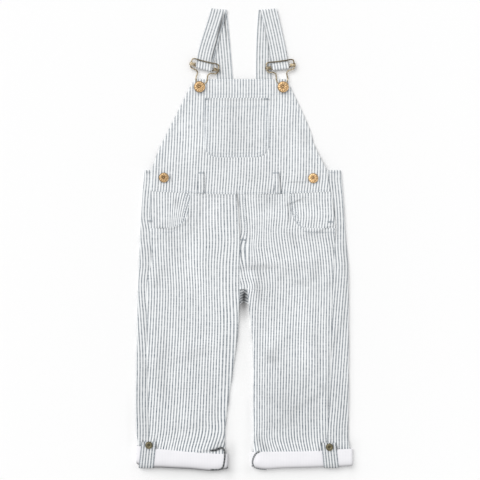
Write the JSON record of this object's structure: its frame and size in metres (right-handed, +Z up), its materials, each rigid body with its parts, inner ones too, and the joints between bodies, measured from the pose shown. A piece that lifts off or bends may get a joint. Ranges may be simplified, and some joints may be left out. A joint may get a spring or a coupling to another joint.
{
  "type": "kids bib overalls",
  "caption": "Small child's striped cotton bib overalls laid flat on their back, with adjustable straps, wire buckles, a bib pocket, scoop hip pockets and turned-up cuffs held by button tabs.",
  "frame": {"origin": "centre of the garment's plan, on the surface that it lies on", "axes": "+Z up from that surface, +Y up the garment from the cuffs to the straps, +X to the viewer's right seen from above"},
  "size_m": [0.325, 0.6938, 0.0125],
  "materials": {
    "striped_cotton": "matt plain-weave cotton with fine slate-blue stripes on white",
    "white_cotton": "matt white inside of the same cotton",
    "antique_brass": "worn satin brass",
    "dark_bronze": "darkened satin bronze"
  },
  "bodies": {
    "root": {"back_bib": "striped_cotton", "back_leg_left": "striped_cotton", "back_leg_right": "striped_cotton", "front_bib": "striped_cotton", "front_leg_left": "striped_cotton", "front_leg_right": "striped_cotton", "pocket_facing_left": "striped_cotton", "pocket_facing_right": "striped_cotton", "chest_pocket": "striped_cotton", "fly_placket": "striped_cotton", "belt_loop_left": "striped_cotton", "belt_loop_right": "striped_cotton", "strap_left": "striped_cotton", "strap_right": "striped_cotton", "tab_left": "striped_cotton", "tab_right": "striped_cotton", "cuff_left": "white_cotton", "cuff_right": "white_cotton", "buckle_left": "antique_brass", "buckle_right": "antique_brass", "slider_left": "antique_brass", "slider_right": "antique_brass", "strap_button_left": "antique_brass", "strap_button_right": "antique_brass", "hip_button_left": "antique_brass", "hip_button_right": "antique_brass", "tab_button_left": "dark_bronze", "tab_button_right": "dark_bronze"}
  },
  "joints": []
}
